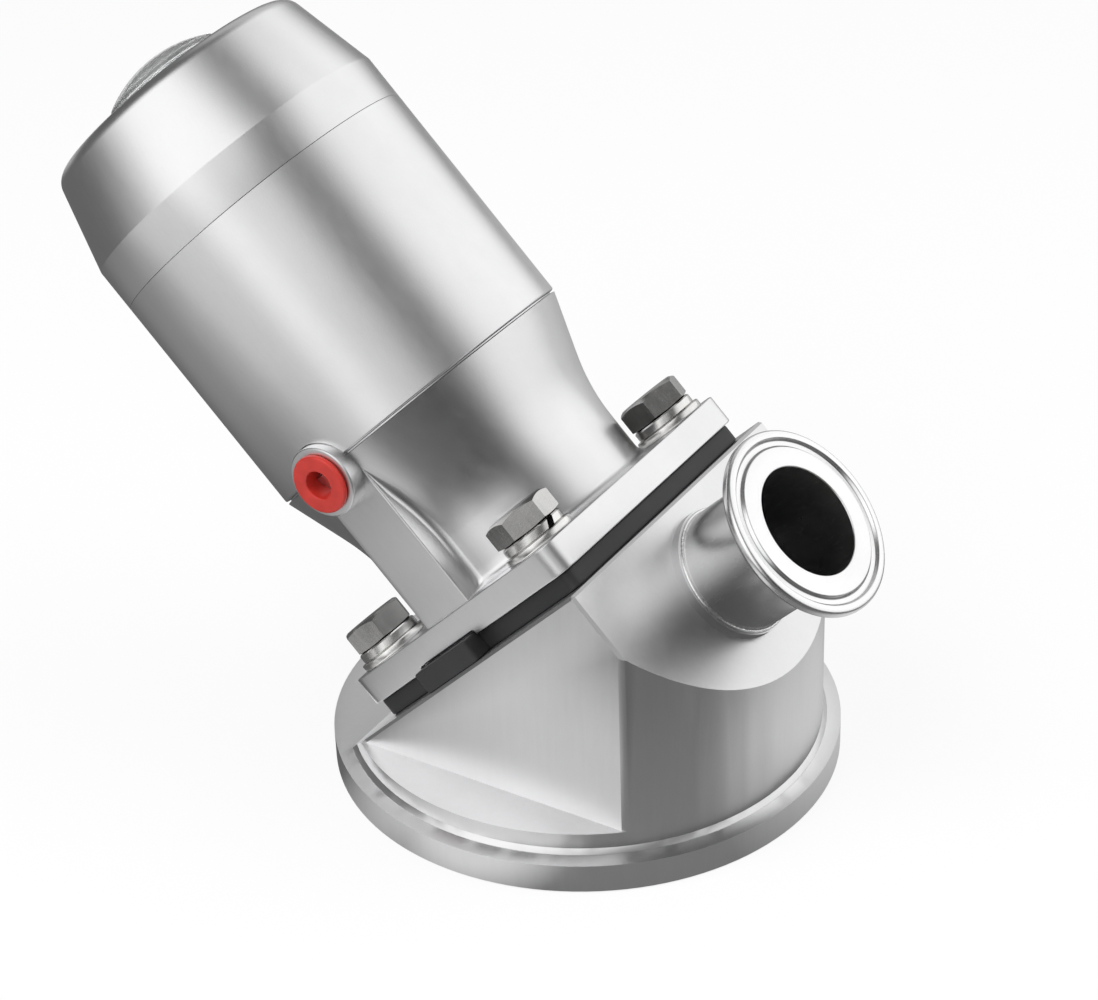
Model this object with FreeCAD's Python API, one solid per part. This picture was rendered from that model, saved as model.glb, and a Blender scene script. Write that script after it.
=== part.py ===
import FreeCAD, Part
import os
from math import cos, sin, sqrt, radians, pi

# Tank bottom diaphragm valve, millimetres, +Z up.
# The origin is the centre of the weld disc's lower face, which looks into the tank.
# The actuator leans back by tilt from +Z towards -X.
# The outlet runs parallel to the diaphragm face, towards +X and up.
# Diaphragm, bonnet and actuator pieces are drawn upright on their own axis and then
# seated on the body, with their heights measured along that axis.

# Weld disc and body block
tilt = 45.0
disc_radius = 68.5
disc_rim = 8.0
disc_land = 4.2
disc_land_rise = 0.7
wall_inset = 4.9
wall_foot_round = 1.2
ledge_rise = 5.6
face_height = 38.0
face_foot = 13.3
flat_margin = 5.4
outlet_margin = 1.7
edge_break = 0.8

# Flow passages
outlet_height = 15.0
bore_radius = 14.85
chamber_wall = 9.2
chamber_depth_share = 0.55
throat_share = 0.41
mouth_share = 0.52
floor_share = 0.8
inlet_share = 0.46
bore_run_in = 3.0
inlet_radius = 27.0
inlet_depth = 20.0
weir_top_half = 3.0
weir_foot_half = 8.0
weir_saddle = 3.0
weir_root = 6.0

# Outlet tube and clamp ferrule
tube_wall = 2.0
collar_height = 2.6
collar_step = 1.1
outlet_reach = 32.0
ferrule_radius = 25.25
ferrule_rim = 2.85
ferrule_length = 21.5
ferrule_back_angle = 20.0
gasket_groove_inset = 3.65
gasket_groove_width = 1.6
gasket_groove_depth = 0.8

# Diaphragm
rim_inset = 1.8
rim_thickness = 5.2
membrane_thickness = 5.0
corner_radius = 3.0
tab_width = 22.5
tab_offset = -6.5
tab_reach = 6.4
seat_gap = 0.3

# Bonnet casting
flange_half = 43.8
flange_thickness = 8.2
flange_corner = 5.0
notch_depth = 1.3
notch_side_gap = 0.8
neck_straight = 22.0
neck_cone = 26.1
neck_fillet = 2.5
neck_wall = 5.2
septum_thickness = 21.0
spigot_height = 9.0

# Flange bolts
bolt_radius = 5.0
bolt_edge = 0.8
flat_washer_ratio = 2.0
spring_washer_ratio = 1.78
bolt_flats_ratio = 3.32
bolt_head_ratio = 1.32
bolt_turn = 75.0
bolt_turn_step = 15.0
bolt_engagement = 16.0
bolt_hole_spare = 3.0
thread_clearance = 0.1
hole_clearance = 0.5
flat_washer = 2.0
spring_washer = 2.6
washer_gap = 0.45
spot_clearance = 0.3
washer_slit = 1.2
washer_slit_slant = 30.0
washer_turn = 200.0
washer_turn_step = 75.0

# Actuator cylinder and cap
cylinder_radius = 45.0
cylinder_wall = 3.8
cylinder_length = 65.0
joint_groove = 0.5
cap_side = 12.0
cap_taper = 26.1
cap_inset = 5.6
cap_top_round = 3.4
cap_wall = 4.5
cap_floor = 4.5
cap_spigot = 9.0
seal_section = 2.65

# Air port
port_drop = 2.1
boss_radius = 9.75
boss_reach = 2.2
pad_step = 6.0
pad_side_inset = 0.45
port_hole_radius = 5.9
port_run_out = 6.0
plug_flange_radius = 8.0
plug_flange = 1.6
plug_length = 9.0
plug_recess_radius = 3.8
plug_recess = 7.0
plug_edge = 0.5

# Spindle, piston and springs
travel = 10.0
spindle_radius = 7.0
running_fit = 0.05
spindle_shoulder = 2.0
bush_wall = 2.5
bush_length = 11.0
piston_rise = 1.0
piston_thickness = 14.0
piston_clearance = 0.3
piston_web = 6.0
nut_height = 8.0
nut_flats_ratio = 3.4
outer_spring_wire = 4.6
outer_spring_turns = 5.0
inner_spring_wire = 3.4
inner_spring_turns = 7.0
spring_clearance = 1.6
compressor_plate = 5.0
compressor_share = 0.85
compressor_wing = 6.0
wing_inset = 1.5
wing_root = 1.0
hub_share = 0.34
hub_room = 1.0
stud_radius = 4.0
stud_reach = 12.0
stud_cover = 1.0
socket_depth = 9.5
socket_gap = 0.5

# Position indicator
rod_radius = 3.5
knob_radius = 6.0
knob_height = 5.0
knob_edge = 1.2
dome_radius = 17.0
dome_wall = 2.2
dome_skirt = 4.8
dome_rise = 4.6
dome_edge = 4.0
dome_lens = 0.6
knob_room = 1.0

# Values that follow from the sizes above
vector = FreeCAD.Vector
up = vector(0, 0, 1)
lean = FreeCAD.Rotation(vector(0, 1, 0), -tilt)
far = 4 * disc_radius
land_top = disc_rim + disc_land_rise
wall_radius = disc_radius - wall_inset
ledge_height = land_top + ledge_rise
actuator_offset = flange_half - face_foot
outlet_plane = actuator_offset + flange_half + outlet_margin
flat_half = flange_half + flat_margin
tube_radius = bore_radius + tube_wall
collar_top = outlet_plane + collar_height
ferrule_face = outlet_plane + outlet_reach
ferrule_foot = ferrule_face - ferrule_length

rim_half = flange_half - rim_inset
flange_foot = face_height + rim_thickness
flange_top = flange_foot + flange_thickness
flat_washer_radius = flat_washer_ratio * bolt_radius
spring_washer_radius = spring_washer_ratio * bolt_radius
bolt_flats = bolt_flats_ratio * bolt_radius
bolt_head = bolt_head_ratio * bolt_radius
bolt_station = flange_half - flat_washer_radius - bolt_edge
bolt_places = [(a * bolt_station, b * bolt_station) for a in (-1, 1) for b in (-1, 1)]
head_foot = flange_top + flat_washer + spring_washer

neck_radius = bolt_station * sqrt(2) - flat_washer_radius - washer_gap
neck_top = flange_top + neck_straight
cylinder_foot = neck_top + neck_cone
neck_bore = neck_radius - neck_wall
chamber_radius = neck_radius - chamber_wall
chamber_depth = chamber_depth_share * chamber_radius
membrane_radius = chamber_radius - seat_gap
membrane_saddle = weir_saddle - seat_gap
membrane_top = face_height - membrane_saddle + membrane_thickness

compressor_radius = compressor_share * chamber_radius
hub_radius = spindle_radius + hub_share * (compressor_radius - spindle_radius)
stud_foot = membrane_top - membrane_thickness + stud_cover
stud_top = membrane_top + stud_reach
spindle_foot = stud_top + socket_gap
hub_top = spindle_foot + socket_depth
septum_height = hub_top + travel + hub_room
floor_height = septum_height + septum_thickness
bush_radius = spindle_radius + running_fit + bush_wall

spigot_top = cylinder_foot + spigot_height
cylinder_bore = cylinder_radius - cylinder_wall
spigot_radius = cylinder_bore - running_fit
cup_radius = cylinder_bore - neck_wall
port_height = cylinder_foot - port_drop
pad_face = neck_radius + pad_step
pad_half = boss_radius - pad_side_inset
boss_face = cylinder_radius + boss_reach

cap_joint = cylinder_foot + cylinder_length
cap_taper_start = cap_joint + cap_side
cap_top = cap_taper_start + cap_taper
cap_top_radius = cylinder_radius - cap_inset
dome_ceiling = cap_top + dome_skirt - dome_lens
knob_foot = dome_ceiling - knob_room - travel - knob_height
dome_foot = knob_foot - knob_room / 2
spring_head = dome_foot - cap_floor

piston_foot = spigot_top + piston_rise
piston_radius = cylinder_bore - piston_clearance
spring_foot = piston_foot + piston_web
spindle_neck_radius = spindle_radius - spindle_shoulder
nut_flats = nut_flats_ratio * spindle_neck_radius
spindle_top = spring_foot + nut_height + spindle_neck_radius
outer_spring_radius = cylinder_bore - outer_spring_wire / 2 - spring_clearance - cap_wall
inner_spring_radius = outer_spring_radius - outer_spring_wire / 2 - inner_spring_wire / 2 - 2 * spring_clearance


def seat(shape):
    """Place a piece drawn on the upright actuator axis."""
    placed = shape.copy()
    base = lean.multVec(vector(actuator_offset, 0, 0))
    placed.Placement = FreeCAD.Placement(base, lean).multiply(placed.Placement)
    return placed


def lean_only(shape):
    """Turn a piece that is drawn from the body's own origin."""
    placed = shape.copy()
    placed.Placement = FreeCAD.Placement(vector(0, 0, 0), lean).multiply(placed.Placement)
    return placed


def outline(points):
    return Part.Face(Part.makePolygon([vector(r, 0, z) for r, z in points + points[:1]]))


def turned(points):
    """Turn a closed outline of (radius, height) points about Z."""
    return outline(points).revolve(vector(0, 0, 0), up, 360)


def rod(radius, low, high, x=0.0, y=0.0):
    return Part.makeCylinder(radius, high - low, vector(x, y, low), up)


def ring(outer, inner, low, high):
    return rod(outer, low, high).cut(rod(inner, low - 1, high + 1))


def block(x, y, z):
    """A box from its three (low, high) pairs."""
    return Part.makeBox(x[1] - x[0], y[1] - y[0], z[1] - z[0], vector(x[0], y[0], z[0]))


def along_x(radius, start, end, height):
    return Part.makeCylinder(radius, end - start, vector(start, 0, height), vector(1, 0, 0))


def along_y(radius, start, end, height):
    return Part.makeCylinder(radius, end - start, vector(0, start, height), vector(0, 1, 0))


def between(radius, start, end):
    """A round rod from one point to another."""
    return Part.makeCylinder(radius, (end - start).Length, start, end - start)


def hexagon(flats, low, high, turn=0.0):
    corner = flats / sqrt(3)
    angles = [radians(turn + 60 * i) for i in range(7)]
    wire = Part.makePolygon([vector(corner * cos(a), corner * sin(a), low) for a in angles])
    return Part.Face(wire).extrude(vector(0, 0, high - low))


def square_plate(half, corner, low, high):
    plate = block((-half, half), (-half, half), (low, high))
    upright = [e for e in plate.Edges if e.BoundBox.ZLength > (high - low) * 0.9]
    return plate.makeFillet(corner, upright)


def saddle_roll(half_width, dip, low):
    """A wide roll along X that dips below its chord by dip and has its lowest line at height low."""
    radius = (half_width ** 2 + dip ** 2) / (2 * dip)
    return along_x(radius, -chamber_radius, chamber_radius, low + radius)


def seated_group(shapes):
    return Part.Compound([seat(shape) for shape in shapes])


def weir():
    """The ridge across the chamber that the diaphragm closes on, with a saddle in its top."""
    foot = face_height - chamber_depth - weir_root
    corners = [(weir_top_half, face_height + 1), (weir_foot_half, foot),
               (-weir_foot_half, foot), (-weir_top_half, face_height + 1)]
    ridge = outline(corners).extrude(vector(0, 2 * chamber_radius, 0))
    ridge.translate(vector(0, -chamber_radius, 0))
    return ridge.cut(saddle_roll(chamber_radius, weir_saddle, face_height - weir_saddle))


def flow_passages():
    """Everything that is hollow between the tank opening, the weir and the outlet."""
    throat = throat_share * chamber_radius
    chamber = rod(chamber_radius, face_height - chamber_depth, face_height)
    mouth = vector(mouth_share * chamber_radius, 0, face_height)
    floor = vector(floor_share * chamber_radius, 0, outlet_height)
    upper_half = seat(chamber.fuse(between(throat, mouth, floor)).cut(weir()))
    inlet = Part.makeCone(inlet_radius, throat, inlet_depth)
    low_end = vector(0, 0, inlet_depth - throat)
    high_end = lean.multVec(vector(actuator_offset - inlet_share * chamber_radius, 0, face_height))
    inlet = inlet.fuse(between(throat, low_end, high_end)).cut(seat(weir()))
    above = lean_only(block((-far, far), (-far, far), (face_height, far)))
    start = actuator_offset + weir_foot_half + bore_run_in
    bore = lean_only(along_x(bore_radius, start, outlet_plane + 1, outlet_height))
    return upper_half.fuse(inlet.cut(above)).fuse(bore)


def is_sharp(edge):
    """Straight edges of the block above its ledge, leaving out the seam of the round wall."""
    straight = edge.Curve.TypeId == "Part::GeomLine"
    above = edge.BoundBox.ZMax > ledge_height + edge_break
    on_seam = abs(edge.CenterOfMass.y) < 1 and edge.BoundBox.YLength < 1
    return straight and above and not on_seam


def valve_body():
    """Block and weld disc turned from one bar, with two sloped faces and two side flats."""
    reach = outlet_plane + face_height
    foot = wall_radius + wall_foot_round
    wall = turned([(0, 0), (foot, 0), (foot, land_top), (wall_radius, land_top + wall_foot_round),
                   (wall_radius, reach), (0, reach)])
    for side in (-1, 1):
        near, away = sorted((side * flat_half, side * far))
        wall = wall.cut(block((-far, far), (near, away), (ledge_height, far)))
    wall = wall.cut(lean_only(block((-far, far), (-far, far), (face_height, far))))
    wall = wall.cut(lean_only(block((outlet_plane, far), (-far, far), (-far, far))))
    wall = wall.common(rod(far, land_top / 2, far))
    wall = wall.makeChamfer(edge_break, [e for e in wall.Edges if is_sharp(e)])
    disc = turned([(0, 0), (disc_radius, 0), (disc_radius, disc_rim), (disc_radius - disc_land, land_top),
                   (0, land_top)])
    collar = lean_only(along_x(tube_radius + collar_step, outlet_plane - 1, collar_top, outlet_height))
    through = lean_only(along_x(bore_radius, outlet_plane - 2, collar_top + 1, outlet_height))
    body = wall.fuse(disc).fuse(collar).cut(flow_passages()).cut(through)
    depth = bolt_engagement + bolt_hole_spare
    for x, y in bolt_places:
        hole = rod(bolt_radius + thread_clearance, face_height - depth, face_height + 1, x, y)
        body = body.cut(seat(hole))
    return body.removeSplitter()


def turned_along_outlet(points, start):
    """Turn an outline about the outlet's axis, its heights measured from start."""
    shape = turned(points)
    shape.rotate(vector(0, 0, 0), vector(0, 1, 0), 90)
    shape.translate(vector(start, 0, outlet_height))
    return lean_only(shape)


def outlet_tube():
    """Tube stub between the body's collar and the clamp ferrule."""
    length = ferrule_foot - collar_top
    return turned_along_outlet([(bore_radius, 0), (tube_radius, 0), (tube_radius, length), (bore_radius, length)],
                               collar_top)


def outlet_ferrule():
    """Clamp ferrule with its sloped back and a gasket groove in its face."""
    slope = (ferrule_radius - tube_radius) * sin(radians(ferrule_back_angle))
    back = ferrule_length - ferrule_rim
    groove_centre = ferrule_radius - gasket_groove_inset
    groove_in = groove_centre - gasket_groove_width / 2
    groove_out = groove_centre + gasket_groove_width / 2
    groove_floor = ferrule_length - gasket_groove_depth
    return turned_along_outlet([(bore_radius, 0), (tube_radius, 0), (tube_radius, back - slope),
                                (ferrule_radius, back), (ferrule_radius, ferrule_length),
                                (groove_out, ferrule_length), (groove_out, groove_floor),
                                (groove_in, groove_floor), (groove_in, ferrule_length),
                                (bore_radius, ferrule_length)], ferrule_foot)


def diaphragm():
    """Square rubber diaphragm, closed on the weir, with its lettering tab left bare."""
    rim = square_plate(rim_half, corner_radius, face_height, flange_foot)
    tab = block((tab_offset - tab_width / 2, tab_offset + tab_width / 2), (-rim_half - tab_reach, -rim_half),
                (face_height, flange_foot + notch_depth - seat_gap))
    rim = rim.fuse(tab).cut(rod(membrane_radius, face_height - 1, flange_foot + 1))
    lowest = face_height - membrane_saddle
    membrane = rod(membrane_radius, lowest, face_height + membrane_thickness)
    membrane = membrane.common(saddle_roll(membrane_radius, membrane_saddle, lowest))
    membrane = membrane.cut(saddle_roll(membrane_radius, membrane_saddle, membrane_top))
    shape = rim.fuse(membrane).cut(diaphragm_stud_form())
    for x, y in bolt_places:
        shape = shape.cut(rod(bolt_radius + hole_clearance, face_height - 1, flange_foot + 1, x, y))
    return seat(shape.removeSplitter())


def diaphragm_stud_form():
    """Steel stud moulded into the middle of the diaphragm."""
    return rod(stud_radius, stud_foot, stud_top)


def diaphragm_stud():
    return seat(diaphragm_stud_form())


def bonnet():
    """Casting that carries the flange, the neck, the spindle septum and the air port."""
    plate = square_plate(flange_half, flange_corner, flange_foot, flange_top)
    outer = turned([(0, flange_foot + 1), (neck_radius + neck_fillet, flange_foot + 1),
                    (neck_radius + neck_fillet, flange_top), (neck_radius, flange_top + neck_fillet),
                    (neck_radius, neck_top), (cylinder_radius, cylinder_foot), (spigot_radius, cylinder_foot),
                    (spigot_radius, spigot_top), (0, spigot_top)])
    pad = block((-pad_half, pad_half), (-pad_face, 0), (flange_top - 1, port_height))
    pad = pad.common(rod(far, flange_foot + 1, cylinder_foot))
    boss = along_y(boss_radius, -boss_face, 0, port_height)
    shape = outer.fuse(pad).fuse(boss).fuse(plate)
    shape = shape.cut(rod(neck_bore, flange_foot - 1, septum_height))
    shape = shape.cut(rod(cup_radius, floor_height, spigot_top + 1))
    gland = bush_length + seal_section + 2 * running_fit
    shape = shape.cut(rod(bush_radius, septum_height - 1, septum_height + gland))
    shape = shape.cut(rod(spindle_radius + 2 * running_fit, septum_height, floor_height + 1))
    shape = shape.cut(along_y(port_hole_radius, -far, -cup_radius + port_run_out, port_height))
    notch_half = tab_width / 2 + notch_side_gap
    shape = shape.cut(block((tab_offset - notch_half, tab_offset + notch_half), (-far, -rim_half + seat_gap),
                            (flange_foot - 1, flange_foot + notch_depth)))
    for x, y in bolt_places:
        shape = shape.cut(rod(bolt_radius + hole_clearance, flange_foot - 1, flange_top + 1, x, y))
        shape = shape.cut(rod(flat_washer_radius + spot_clearance, flange_top, flange_top + neck_fillet, x, y))
    return seat(shape.removeSplitter())


def flange_bolts():
    """Four hexagon bolts, each left at its own angle after tightening."""
    bolts = []
    for index, (x, y) in enumerate(bolt_places):
        head = hexagon(bolt_flats, head_foot, head_foot + bolt_head, bolt_turn + bolt_turn_step * index)
        bolt = head.fuse(rod(bolt_radius, face_height - bolt_engagement, head_foot + bolt_head / 2))
        bolt.translate(vector(x, y, 0))
        bolts.append(bolt.removeSplitter())
    return seated_group(bolts)


def flat_washers():
    washers = []
    for x, y in bolt_places:
        washer = ring(flat_washer_radius, bolt_radius + hole_clearance, flange_top, flange_top + flat_washer)
        washer.translate(vector(x, y, 0))
        washers.append(washer)
    return seated_group(washers)


def spring_washers():
    """Split lock washers, each cut by a slanted slit."""
    washers = []
    low = flange_top + flat_washer
    middle = vector(0, 0, low + spring_washer / 2)
    for index, (x, y) in enumerate(bolt_places):
        washer = ring(spring_washer_radius, bolt_radius + hole_clearance / 2, low, low + spring_washer)
        slit = block((0, 2 * spring_washer_radius), (-washer_slit / 2, washer_slit / 2),
                     (low - spring_washer, low + 2 * spring_washer))
        slit.rotate(middle, vector(1, 0, 0), washer_slit_slant)
        washer = washer.cut(slit)
        washer.rotate(vector(0, 0, 0), up, washer_turn + washer_turn_step * index)
        washer.translate(vector(x, y, 0))
        washers.append(washer)
    return seated_group(washers)


def spindle_bush():
    return seat(ring(bush_radius, spindle_radius + running_fit, septum_height, septum_height + bush_length))


def spindle_seal():
    """Square-section ring above the bush, which keeps the air off the diaphragm."""
    foot = septum_height + bush_length
    return seat(ring(bush_radius, spindle_radius + running_fit, foot, foot + seal_section))


def actuator_cylinder():
    """Tube between the bonnet and the cap, notched over the top of the port boss."""
    shape = turned([(cylinder_bore, cylinder_foot), (cylinder_radius, cylinder_foot),
                    (cylinder_radius, cap_joint), (cylinder_bore, cap_joint)])
    return seat(shape.cut(along_y(boss_radius + seat_gap, -far, 0, port_height)))


def top_cap():
    """Tapered end cap with a spigot in the cylinder and a recess for the sight dome."""
    rounded = [(cap_top_radius - cap_top_round * (1 - cos(radians(a))),
                cap_top - cap_top_round * (1 - sin(radians(a)))) for a in (0, 45, 90)]
    outer = turned([(0, cap_joint - cap_spigot), (spigot_radius, cap_joint - cap_spigot),
                    (spigot_radius, cap_joint), (cylinder_radius - joint_groove, cap_joint),
                    (cylinder_radius, cap_joint + joint_groove), (cylinder_radius, cap_taper_start)]
                   + rounded + [(0, cap_top)])
    shape = outer.cut(rod(spigot_radius - cap_wall, cap_joint - cap_spigot - 1, spring_head))
    shape = shape.cut(rod(rod_radius + running_fit, spring_head - 1, cap_top))
    shape = shape.cut(rod(dome_radius + running_fit, dome_foot, cap_top + 1))
    return seat(shape.removeSplitter())


def indicator_dome():
    """Clear window that the indicator knob rises into, sloped off round its top."""
    top = cap_top + dome_skirt + dome_rise
    inner = dome_radius - dome_wall
    return seat(turned([(inner, dome_foot), (dome_radius, dome_foot), (dome_radius, top - dome_edge),
                        (dome_radius - dome_edge, top), (0, top), (0, dome_ceiling), (inner, dome_ceiling)]))


def indicator_rod():
    return seat(rod(rod_radius, spindle_top, knob_foot))


def indicator_knob():
    top = knob_foot + knob_height
    return seat(turned([(0, knob_foot), (knob_radius, knob_foot), (knob_radius, top - knob_edge),
                        (knob_radius - knob_edge, top), (0, top)]))


def compressor():
    """Pressure piece behind the diaphragm, with crossed wings and a socket for the spindle."""
    foot = membrane_top + seat_gap
    plate_top = foot + membrane_saddle + compressor_plate
    shape = turned([(stud_radius + thread_clearance, foot), (compressor_radius, foot),
                    (compressor_radius, plate_top), (hub_radius, plate_top), (hub_radius, hub_top),
                    (spindle_radius + running_fit, hub_top), (spindle_radius + running_fit, spindle_foot),
                    (stud_radius + thread_clearance, spindle_foot)])
    shape = shape.common(saddle_roll(membrane_radius, membrane_saddle, foot))
    wing = block((hub_radius - wing_root, compressor_radius - wing_inset),
                 (-compressor_wing / 2, compressor_wing / 2), (plate_top - 1, plate_top + compressor_plate))
    for turn in (0, 90, 180, 270):
        placed = wing.copy()
        placed.rotate(vector(0, 0, 0), up, turn)
        shape = shape.fuse(placed)
    return seat(shape.removeSplitter())


def spindle():
    """Spindle from the compressor to the piston, stepped down for the piston nut."""
    return seat(turned([(0, spindle_foot), (spindle_radius, spindle_foot), (spindle_radius, piston_foot),
                        (spindle_neck_radius, piston_foot), (spindle_neck_radius, spindle_top),
                        (0, spindle_top)]))


def piston():
    """Piston with a seal groove, dished on top to hold both springs."""
    bore = spindle_neck_radius + running_fit
    top = piston_foot + piston_thickness
    pocket = outer_spring_radius + outer_spring_wire / 2 + spring_clearance / 2
    groove = cylinder_bore - seal_section - 2 * running_fit
    low = piston_seal_foot() - running_fit
    high = piston_seal_foot() + seal_section + running_fit
    return seat(turned([(bore, piston_foot), (piston_radius, piston_foot), (piston_radius, low), (groove, low),
                        (groove, high), (piston_radius, high), (piston_radius, top), (pocket, top),
                        (pocket, spring_foot), (bore, spring_foot)]))


def piston_seal_foot():
    return piston_foot + (piston_thickness - seal_section) / 2


def piston_seal():
    outer = cylinder_bore - running_fit
    return seat(ring(outer, outer - seal_section, piston_seal_foot(), piston_seal_foot() + seal_section))


def piston_nut():
    nut = hexagon(nut_flats, spring_foot, spring_foot + nut_height)
    return seat(nut.cut(rod(spindle_neck_radius + thread_clearance, spring_foot - 1, spindle_top)))


def coil_spring(radius, wire, turns):
    """Compression spring ground flat at both ends, its round wire drawn with flats."""
    steps = 12
    sides = 6
    pitch = (spring_head - spring_foot) / turns
    start = spring_foot - pitch / 2
    count = int(steps * (turns + 1))
    points = [vector(radius * cos(2 * pi * i / steps), radius * sin(2 * pi * i / steps), start + pitch * i / steps)
              for i in range(count + 1)]
    run = (points[1] - points[0]).normalize()
    across = run.cross(vector(1, 0, 0)).normalize()
    out = across.cross(run)
    angles = [2 * pi * i / sides for i in range(sides + 1)]
    section = Part.makePolygon([points[0] + out * (wire / 2 * cos(a)) + across * (wire / 2 * sin(a)) for a in angles])
    coil = Part.BRepOffsetAPI.MakePipeShell(Part.makePolygon(points))
    coil.setFrenetMode(False)
    coil.setTransitionMode(1)
    coil.add(section)
    coil.build()
    coil.makeSolid()
    return seat(coil.shape().common(rod(radius + 2 * wire, spring_foot, spring_head)))


def spring_outer():
    return coil_spring(outer_spring_radius, outer_spring_wire, outer_spring_turns)


def spring_inner():
    return coil_spring(inner_spring_radius, inner_spring_wire, inner_spring_turns)


def port_plug():
    """Red transport plug in the air port, with a recess to pull it by."""
    stem = port_hole_radius - running_fit
    face = plug_length + plug_flange
    shape = turned([(0, 0), (stem, 0), (stem, plug_length), (plug_flange_radius, plug_length),
                    (plug_flange_radius, face - plug_edge), (plug_flange_radius - plug_edge, face),
                    (plug_recess_radius, face), (plug_recess_radius, face - plug_recess), (0, face - plug_recess)])
    shape.rotate(vector(0, 0, 0), vector(1, 0, 0), 90)
    shape.translate(vector(0, plug_length - boss_face, port_height))
    return seat(shape)


pieces = {
    "valve_body": valve_body,
    "outlet_tube": outlet_tube,
    "outlet_ferrule": outlet_ferrule,
    "diaphragm": diaphragm,
    "diaphragm_stud": diaphragm_stud,
    "bonnet": bonnet,
    "flange_bolts": flange_bolts,
    "flat_washers": flat_washers,
    "spring_washers": spring_washers,
    "spindle_bush": spindle_bush,
    "spindle_seal": spindle_seal,
    "actuator_cylinder": actuator_cylinder,
    "top_cap": top_cap,
    "indicator_dome": indicator_dome,
    "indicator_rod": indicator_rod,
    "indicator_knob": indicator_knob,
    "compressor": compressor,
    "spindle": spindle,
    "piston": piston,
    "piston_seal": piston_seal,
    "piston_nut": piston_nut,
    "spring_outer": spring_outer,
    "spring_inner": spring_inner,
    "port_plug": port_plug,
}

os.makedirs("parts", exist_ok=True)
for name, make in pieces.items():
    shape = make()
    shape.exportStep(os.path.join("parts", name + ".step"))
    print(name, len(shape.Solids), "solids, valid", shape.isValid(), "volume", round(shape.Volume))
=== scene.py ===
from math import atan2, cos, degrees, pi, radians, sin, sqrt, tan

import bmesh
import bpy
from mathutils import Matrix, Vector


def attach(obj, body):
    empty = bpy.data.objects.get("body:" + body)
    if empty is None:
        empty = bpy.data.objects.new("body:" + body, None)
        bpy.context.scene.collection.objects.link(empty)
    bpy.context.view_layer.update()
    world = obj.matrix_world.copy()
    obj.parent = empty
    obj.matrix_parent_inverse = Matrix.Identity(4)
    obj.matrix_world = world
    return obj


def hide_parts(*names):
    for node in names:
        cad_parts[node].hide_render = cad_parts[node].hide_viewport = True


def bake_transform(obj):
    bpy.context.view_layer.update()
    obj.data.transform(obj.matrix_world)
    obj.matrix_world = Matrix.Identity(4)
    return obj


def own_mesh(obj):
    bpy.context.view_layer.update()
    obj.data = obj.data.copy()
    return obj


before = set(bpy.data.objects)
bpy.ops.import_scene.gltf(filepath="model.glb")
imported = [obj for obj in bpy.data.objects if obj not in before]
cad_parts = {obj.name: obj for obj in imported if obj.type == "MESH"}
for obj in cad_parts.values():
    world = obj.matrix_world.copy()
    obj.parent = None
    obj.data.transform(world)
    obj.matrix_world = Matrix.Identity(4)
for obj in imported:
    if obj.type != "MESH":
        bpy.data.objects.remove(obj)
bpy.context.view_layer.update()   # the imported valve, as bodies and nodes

mm = 0.001
scene = bpy.context.scene

# the outlet and the diaphragm face lean with the actuator
leanAngle = radians(45)
outletAxis = Vector((sin(leanAngle), 0, cos(leanAngle)))
stemAxis = Vector((-sin(leanAngle), 0, cos(leanAngle)))
actuatorOffset = 30.5 * mm
outletOffset = 15 * mm

# sizes that several pieces share, in millimetres as in each piece's own settings; angles are in degrees
actuatorRadius = 45.0
spigotRadius = 41.1
tubeRadius = 16.85
tubeBore = 14.85
membraneRadius = 26.7
membraneFoot = 38.05
chamberRadius = 31.0
flangeTop = 51.4
knobFoot = 190.8


def placeFrom(xAxis, yAxis, zAxis, origin):
    turn = Matrix((xAxis, yAxis, zAxis)).transposed().to_4x4()
    return Matrix.Translation(origin) @ turn


actuatorPlace = placeFrom(outletAxis, Vector((0, 1, 0)), stemAxis, outletAxis * actuatorOffset)
outletPlace = placeFrom(-stemAxis, Vector((0, 1, 0)), outletAxis, stemAxis * outletOffset)


# node helpers, for the finishes and the trees

def feed(tree, node, inputs):
    # an input takes a value, or the socket that is linked to it
    for name, value in inputs.items():
        if isinstance(value, bpy.types.NodeSocket):
            tree.links.new(value, node.inputs[name])
        else:
            node.inputs[name].default_value = value


def addNode(tree, kind, inputs=None, **settings):
    node = tree.nodes.new(kind)
    for name, value in settings.items():
        setattr(node, name, value)
    feed(tree, node, inputs or {})
    return node


def calculate(tree, operation, *values):
    return addNode(tree, "ShaderNodeMath", dict(enumerate(values)), operation=operation).outputs["Value"]


def mixValues(tree, first, second, share):
    node = addNode(tree, "ShaderNodeMix", {"Factor": share, "A": first, "B": second}, data_type="FLOAT")
    return node.outputs["Result"]


def span(tree, source, fromMin, fromMax, toMin, toMax, **settings):
    node = addNode(tree, "ShaderNodeMapRange", {
        "Value": source, "From Min": fromMin, "From Max": fromMax, "To Min": toMin, "To Max": toMax,
    }, **settings)
    return node.outputs["Result"]


def ramp(tree, source, colours, stops):
    node = addNode(tree, "ShaderNodeValToRGB", {"Fac": source})
    for element, colour, stop in zip(node.color_ramp.elements, colours, stops):
        element.position = stop
        element.color = (*colour, 1)
    return node.outputs["Color"]


def newFinish(name):
    material = bpy.data.materials.new(name)
    material.use_nodes = True
    tree = material.node_tree
    return material, tree, tree.nodes["Principled BSDF"]


def placedCoordinates(tree, turn, stretch=(1, 1, 1)):
    # object coordinates, turned to the piece's own axis and stretched
    where = addNode(tree, "ShaderNodeTexCoord")
    turned = addNode(tree, "ShaderNodeMapping", {"Vector": where.outputs["Object"], "Rotation": turn})
    stretched = addNode(tree, "ShaderNodeMapping", {"Vector": turned.outputs["Vector"], "Scale": stretch})
    return stretched.outputs["Vector"]


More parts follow.
